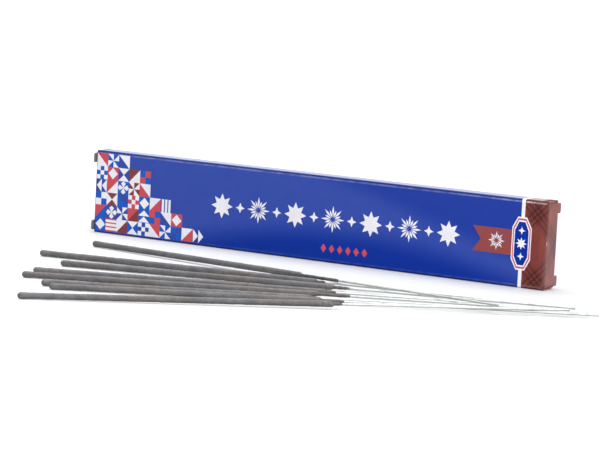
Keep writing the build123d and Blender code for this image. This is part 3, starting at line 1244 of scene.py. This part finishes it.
class SPARKLERS_OT_stage(bpy.types.Operator):
    """Sets the pale table, the soft lamps, the even surrounding light and the camera"""

    bl_idname = "sparklers.stage"
    bl_label = "Stage"

    def execute(self, context):
        cfg = context.scene.sparkler_stage
        scene = context.scene
        scene.view_settings.view_transform = "Standard"

        # Table: a flat grid
        side = np.linspace(-TABLE_HALF, TABLE_HALF, TABLE_POINTS)
        x, y = np.meshgrid(side, side, indexing="ij")
        table = mesh_piece(
            "table",
            np.stack([x, y, np.full_like(x, TABLE_Z)], axis=-1),
            grid_faces(TABLE_POINTS, TABLE_POINTS).tolist(),
            [floor_material(cfg)],
        )

        # Even light from all round, white to the camera, in reflections and through clear things
        world = bpy.data.worlds.new("even light")
        world.use_nodes = True
        tree = world.node_tree
        path = add_node(tree, "ShaderNodeLightPath").outputs
        seen = greatest(path["Is Glossy Ray"], path["Is Transmission Ray"])
        seen = greatest(path["Is Camera Ray"], seen)
        strength = times_plus(seen, 1.0 - cfg.sky, cfg.sky)
        even = {"Color": (1.0, 1.0, 1.0, 1.0), "Strength": strength}
        set_inputs(tree.nodes["Background"], even)
        scene.world = world

        # Three large soft lamps
        for name, setting, size, place, aim in LAMPS:
            lamp = bpy.data.lights.new(name, "AREA")
            lamp.energy, lamp.size = getattr(cfg, setting), size
            holder = bpy.data.objects.new(name, lamp)
            holder.location = place
            holder.rotation_euler = (Vector(aim) - Vector(place)).to_track_quat("-Z", "Y").to_euler()
            scene.collection.objects.link(holder)

        # Camera: looks back along one line to its aim, level, then rolled about that line
        turn, rise, roll = np.radians([CAMERA_TURN, CAMERA_RISE, CAMERA_ROLL])
        back = np.array([np.sin(turn) * np.cos(rise), -np.cos(turn) * np.cos(rise), np.sin(rise)])
        right = np.cross(-back, (0.0, 0.0, 1.0))
        right /= np.linalg.norm(right)
        up = np.cross(right, -back)
        lens = bpy.data.cameras.new("camera")
        lens.sensor_width, lens.lens = CAMERA_FILM, CAMERA_LENS
        lens.clip_start, lens.clip_end = 0.05, 50.0
        camera = bpy.data.objects.new("camera", lens)
        stand = np.eye(4)
        stand[:3, 0] = np.cos(roll) * right + np.sin(roll) * up
        stand[:3, 1] = -np.sin(roll) * right + np.cos(roll) * up
        stand[:3, 2] = back
        stand[:3, 3] = np.array(CAMERA_AIM) + back * cfg.distance
        camera.matrix_world = Matrix(stand.tolist())
        scene.collection.objects.link(camera)
        scene.camera = camera
        return {"FINISHED"}


class SPARKLERS_PT_panel(bpy.types.Panel):
    """Lists the carton's and the sparklers' pieces with their settings"""

    bl_idname = "SPARKLERS_PT_panel"
    bl_label = "Carton of sparklers"
    bl_space_type = "VIEW_3D"
    bl_region_type = "UI"
    bl_category = "Sparklers"

    def draw(self, context):
        for title, settings, steps in (
            ("Carton", context.scene.sparkler_carton, ("sleeve", "closure_flaps", "dust_flaps", "motifs")),
            ("Sparklers", context.scene.sparkler_coats, ("wires", "coats")),
            ("Stage", context.scene.sparkler_stage, ("stage",)),
        ):
            box = self.layout.box()
            box.label(text=title)
            for key in settings.bl_rna.properties.keys():
                if key not in {"rna_type", "name"}:
                    box.prop(settings, key)
            for step in steps:
                box.operator(f"sparklers.{step}")


SETTINGS = (
    ("sparkler_carton", CartonSettings),
    ("sparkler_coats", SparklerSettings),
    ("sparkler_stage", StageSettings),
)
STEPS = (
    SPARKLERS_OT_effects,
    SPARKLERS_OT_sleeve,
    SPARKLERS_OT_closure_flaps,
    SPARKLERS_OT_dust_flaps,
    SPARKLERS_OT_motifs,
    SPARKLERS_OT_wires,
    SPARKLERS_OT_coats,
    SPARKLERS_OT_stage,
)


def register():
    for key, kind in SETTINGS:
        bpy.utils.register_class(kind)
        setattr(bpy.types.Scene, key, bpy.props.PointerProperty(type=kind))
    for step in STEPS:
        bpy.utils.register_class(step)
    bpy.utils.register_class(SPARKLERS_PT_panel)


def unregister():
    bpy.utils.unregister_class(SPARKLERS_PT_panel)
    for step in reversed(STEPS):
        bpy.utils.unregister_class(step)
    for key, kind in reversed(SETTINGS):
        delattr(bpy.types.Scene, key)
        bpy.utils.unregister_class(kind)


def main():
    register()
    for step in STEPS:
        group, name = step.bl_idname.split(".")
        getattr(getattr(bpy.ops, group), name)()


if __name__ == "__main__":
    main()
